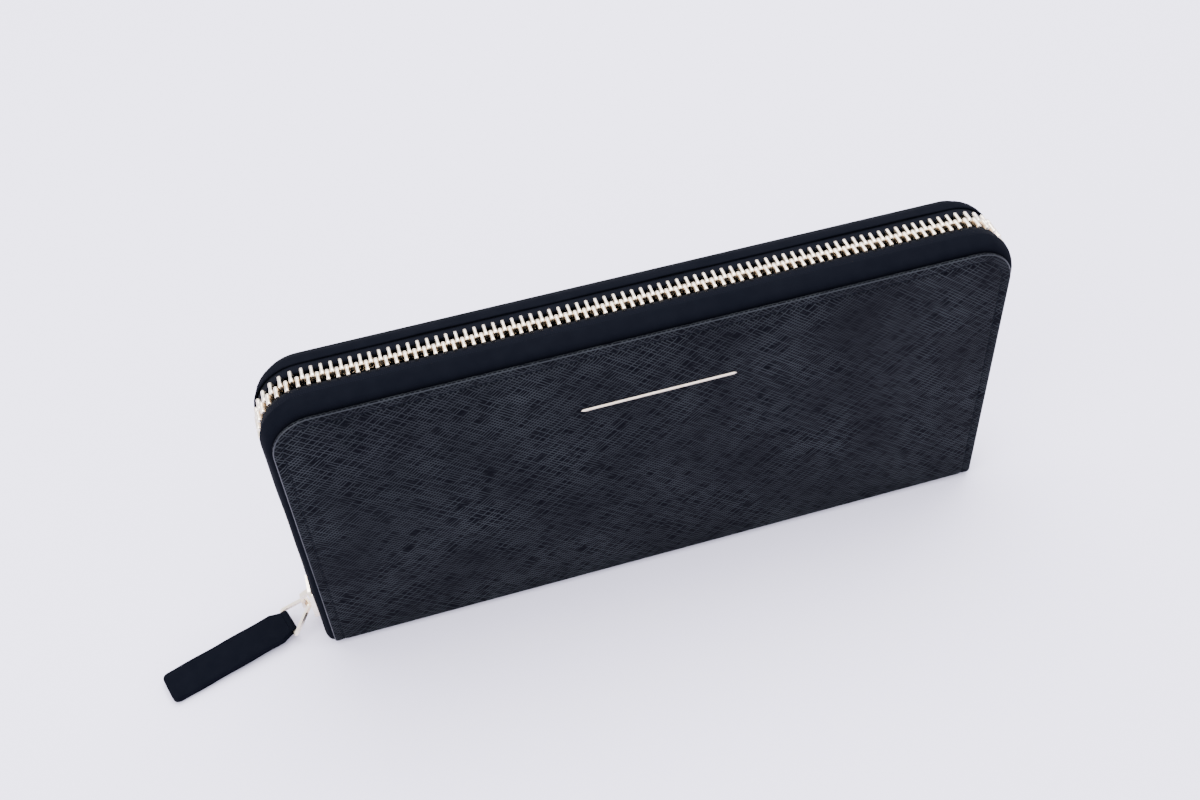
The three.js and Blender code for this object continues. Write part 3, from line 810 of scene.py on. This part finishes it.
# ---------------------------------------------------------------- gussets
def gusset_piece(label, end):
    """One pleat of cloth from a cover to the coin pocket, folded inwards along a soft crease."""
    node = f"{label}_gusset_{'left' if end < 0 else 'right'}"
    lo, hi = mm_box(node)
    side = -1 if lo[1] + hi[1] < 0 else 1
    inner, outer = sorted((abs(lo[1]), abs(hi[1])))
    fold, out = sorted((abs(lo[0]), abs(hi[0])))
    reach_in, reach_out = inner - 0.12, outer + 0.12
    middle, thick = (inner + outer) / 2, 0.4
    levels = 22
    built = Build()
    rows, uvs = [], []
    for k in range(levels + 1):
        f = k / levels
        z = lo[2] + (hi[2] - lo[2]) * f
        crease = fold + 1.2 + 0.8 * math.sin(f * 5 + end) + 3.0 * max(0.0, f - 0.85) / 0.15
        outline = [(out, reach_out - thick / 2)]
        for n in range(1, 8):
            t = n / 8
            sag = 0.16 * math.sin(PI * t) * math.sin(f * 9 + n)
            sewn = max(0.0, (t - 0.3) / 0.7)  # flat where it is sewn down
            run_in = (middle + 0.3 - reach_out + thick / 2) * sewn ** 1.25
            y = reach_out - thick / 2 + run_in + sag * 0.3 * (sewn > 0)
            outline.append((out + (crease - out) * t, y))
        outline.append((crease, middle))
        mirrored = [(x, reach_in + reach_out - y) for x, y in outline[:-1][::-1]]
        line = outline + mirrored
        ring, uv = [], []
        for sign in (1, -1):
            run = line if sign > 0 else line[::-1]
            for n, (x, y) in enumerate(run):
                back = run[max(n - 1, 0)]
                ahead = run[min(n + 1, len(run) - 1)]
                t = Vector((ahead[0] - back[0], ahead[1] - back[1])).normalized() * sign
                nrm = Vector((-t[1], t[0])) * thick / 2 * sign
                ring.append((end * (x + nrm[0] * 0.9), side * (y + nrm[1] * 0.9), z))
                uv.append((x * MM, z * MM))
        rows.append(ring)
        uvs.append(uv)
    built.tube(rows, uvs)
    obj = recalc(built.make(f"{node}_cloth", lining_cloth))
    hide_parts(node)
    if side < 0:
        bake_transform(obj)
    else:
        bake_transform(obj)


for label in ("front", "back"):
    for end in (-1, 1):
        gusset_piece(label, end)


# ---------------------------------------------------------------- coin pocket
for label in ("front", "back"):
    cad_wall = f"coin_pocket_{label}_wall"
    wall = layer(
        f"coin_pocket_{label}_leather", cad_wall, inner_leather, corner=3.0, face=1, relief=wall_relief
    )
    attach(wall, DIVIDER)
    tape = layer(f"coin_zip_{label}_cloth", f"coin_zip_{label}_tape", tape_cloth, nz=5)
    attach(tape, DIVIDER)


def coin_hem():
    """The bound edge that joins the coin pocket's walls at both ends and along the foot."""
    lo, hi = mm_box("coin_pocket_hem")
    half, r = hi[0], 3.4
    stations = [(-half, hi[2] - (hi[2] - lo[2] - r) * k / 20, -1.0, 0.0) for k in range(20)]
    for a in (PI / 2 * k / 6 for k in range(7)):
        nx, nz = -math.cos(a), -math.sin(a)
        stations.append((-half + r + r * nx, lo[2] + r + r * nz, nx, nz))
    upright = len(stations)
    stations += [(-half + r + (half - r) * 2 * k / 40, lo[2], 0.0, -1.0) for k in range(1, 40)]
    stations += [(-x, z, -nx, nz) for x, z, nx, nz in stations[:upright][::-1]]
    y = hi[1] - 0.03
    edge = [(3.0, -y), (0.5, -y), (0.15, -y * 0.85), (0.0, -y * 0.4)]
    section = edge + [(0.12, 0.0)] + [(i, -yy) for i, yy in edge[::-1]]
    built = Build()
    rows = [[(x - nx * i, yy, z - nz * i) for i, yy in section] for x, z, nx, nz in stations]
    built.tube(rows)
    obj = recalc(built.make("coin_pocket_binding", lining_cloth))
    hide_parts("coin_pocket_hem")
    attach(obj, DIVIDER)


coin_hem()


def coin_elements(label, side):
    """One row of the coin zip's elements."""
    node = f"coin_zip_{label}_teeth"
    lo, hi = mm_box(node)
    z, tall, far = (lo[2] + hi[2]) / 2, (hi[2] - lo[2]) / 2, max(abs(lo[1]), abs(hi[1]))
    stations = [(far, 0.2, 0.75), (far - 0.15, 0.32, 0.95), (0.9, 0.34, 1), (0.3, 0.4, 1)]
    stations += [(-0.3, 0.38, 0.9), (-0.42, 0.2, 0.7)]
    built = Build()
    pitch = 1.6
    count = int((hi[0] - 1) / pitch)
    for n in range(-count, count + 1):
        x = n * pitch + (pitch / 2 if side > 0 else 0)
        if x > hi[0] - 0.5:
            continue
        rows = []
        for y, half, size in stations:
            rows.append([(x + u, side * y, z + v) for u, v in soft_square(8, 0.6, half, tall * size)])
        built.tube(rows)
    obj = recalc(built.make(f"coin_zip_{label}_elements", gold))
    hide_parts(node)
    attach(obj, DIVIDER)


coin_elements("front", -1)
coin_elements("back", 1)


# ---------------------------------------------------------------- leather pull
PULL_LENGTH, PULL_DROP, PULL_THICK = 37.0, math.radians(2.6), 1.1  # thickness of each layer
NOSE, WIDE, TAPER_END = 3.8, 5.0, 4.0  # half widths at the bar and beyond the taper, and where the taper ends


def pull_piece():
    """Two layers folded round the link's bar and sewn face to face."""
    hinge = next(j for j in frame["joints"] if j["name"] == "pull_swing")
    bar = Vector(hinge["pos_m"]) / MM
    across = Vector(hinge["axis"]).normalized()
    level = across.cross(Vector((0, 0, 1))).normalized()
    if level.x > 0:
        level = -level
    along = level * math.cos(PULL_DROP) - Vector((0, 0, math.sin(PULL_DROP)))
    up = level * math.sin(PULL_DROP) + Vector((0, 0, math.cos(PULL_DROP)))

    def place(u, v, w):
        return tuple(bar + along * u + across * v + up * w)

    built = Build()
    rows, uvs = [], []
    r = 1.7
    us = [0.8, 1.2, 1.8, 2.6, 3.4, TAPER_END]
    us += [TAPER_END + (PULL_LENGTH - r - TAPER_END) * k / 24 for k in range(1, 25)]
    us += [PULL_LENGTH - r + r * math.sin(PI / 2 * k / 7) for k in range(1, 8)]
    for u in us:
        taper = min(max((u - 0.9) / (TAPER_END - 0.9), 0), 1)
        over = max(0.0, u - (PULL_LENGTH - r))
        half = NOSE + (WIDE - NOSE) * taper ** 0.9 - (r - math.sqrt(max(0.0, r * r - over * over)))
        half += 0.06 * math.sin(u * 0.5)
        t = PULL_THICK * (1 - 0.1 * bump_at(u, 2.4, 1.0)) - 0.25 * (over / r) ** 3
        side_line = [(half - 0.16, 0.0), (half - 0.03, 0.22 * t), (half, 0.5 * t)]
        side_line += [(half - 0.1, 0.8 * t), (half - 0.34, 0.96 * t)]
        shares = (1, 0.8, 0.5, 0.2, -0.2, -0.5, -0.8, -1)
        top = [((half - 0.8) * f, t * (0.985 + 0.03 * (1 - f * f))) for f in shares]
        upper = side_line + top + [(-v, w) for v, w in side_line[:0:-1]]
        ring = upper + [(-v, -w) for v, w in upper]
        rows.append([place(u, v, w) for v, w in ring])
        uvs.append([(u * MM, (v + w) * MM) for v, w in ring])
    built.tube(rows, uvs)
    middle, thin = 0.86, 0.22
    path = [(0.9, middle, 0, 1), (0.4, middle, 0, 1)]
    for a in (PI * k / 12 for k in range(13)):
        path.append((-middle * math.sin(a), middle * math.cos(a), -math.sin(a), math.cos(a)))
    path += [(0.4, -middle, 0, -1), (0.9, -middle, 0, -1)]
    section = [(NOSE - 0.2, thin), (NOSE, thin * 0.5), (NOSE, -thin * 0.5), (NOSE - 0.2, -thin)]
    section += [(-v, -n) for v, n in section]
    rows = [[place(u + nu * n, v, w + nw * n) for v, n in section] for u, w, nu, nw in path]
    uvs = [[(k * 0.0004, (v + n) * MM) for v, n in section] for k in range(len(path))]
    built.tube(rows, uvs)
    obj = recalc(built.make("pull_leather", pull_hide))
    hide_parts("leather_pull")
    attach(obj, "pull")


pull_piece()


# ---------------------------------------------------------------- foil line
def foil_line():
    """A plain stamped line that lies on the panel's slight swell."""
    lo, hi = mm_box("front_foil_line")
    half, tall = hi[0], (hi[2] - lo[2]) / 2
    middle = (hi[2] + lo[2]) / 2
    built = Build()
    count = 60
    rows = []
    for k in range(count + 1):
        x = -half + 2 * half * k / count
        end = max(0.0, abs(x) - (half - tall))
        h = math.sqrt(max(tall * tall - end * end, 0.0001)) + 0.02
        ring = []
        for z, out in ((-h, -0.05), (-h * 0.9, 0.05), (0, 0.06), (h * 0.9, 0.05), (h, -0.05)):
            stand = PANEL_OUT + belly(x, middle + z) + out
            ring.append((x, -(HALF_D + stand), middle + z))
        rows.append(ring)
    built.tube(rows)
    obj = recalc(built.make("foil_stamp", foil))
    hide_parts("front_foil_line")
    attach(obj, FRONT)


foil_line()


# ---------------------------------------------------------------- stage, light and camera
def floor():
    """A plain sheet of pale paper."""
    tile, tiles = 150.0, range(-20, 21)
    built = Build()
    rows = [[(i * tile, j * tile, 0.0) for i in tiles] for j in tiles]
    built.grid(rows)
    material, tree, bsdf = new_material("floor_paper")
    where = node(tree, "ShaderNodeTexCoord").outputs["Object"]
    paint(tree, bsdf, noise(tree, where, 2.0, 2.0), (0.83, 0.8, 0.99), (0.85, 0.82, 1.0))
    bsdf.inputs["Roughness"].default_value = 0.75
    bsdf.inputs["Specular IOR Level"].default_value = 0.2
    obj = built.make("floor", material)


floor()

camera_data = bpy.data.cameras.new("camera")
camera_data.lens = 41.45
camera_data.sensor_width = 36
camera_data.clip_start = 0.01
camera = bpy.data.objects.new("camera", camera_data)
camera.location = Vector((-70.9, -247.9, 326.4)) * MM
camera.rotation_euler = Euler([math.radians(a) for a in (43.56, 3.04, -16.34)], "XYZ")
bpy.context.scene.collection.objects.link(camera)
bpy.context.scene.camera = camera


def area(name, place, size, power):
    """A soft light aimed at the wallet. Places and sizes are in metres."""
    data = bpy.data.lights.new(name, "AREA")
    data.shape = "RECTANGLE"
    data.size, data.size_y = size
    data.energy = power
    obj = bpy.data.objects.new(name, data)
    obj.location = place
    obj.rotation_euler = (Vector(AIM) - Vector(place)).to_track_quat("-Z", "Y").to_euler()
    bpy.context.scene.collection.objects.link(obj)


AIM = (0, 0, 0.05)
area("overhead", (0.15, 0.35, 1.1), (1.2, 0.9), 31)
area("window", (-0.9, -0.5, 0.7), (0.8, 0.8), 12)

world = bpy.data.worlds.new("studio")
bpy.context.scene.world = world
world.use_nodes = True
background = world.node_tree.nodes["Background"]
background.inputs["Color"].default_value = (0.95, 0.95, 1.0, 1)
background.inputs["Strength"].default_value = 2.3
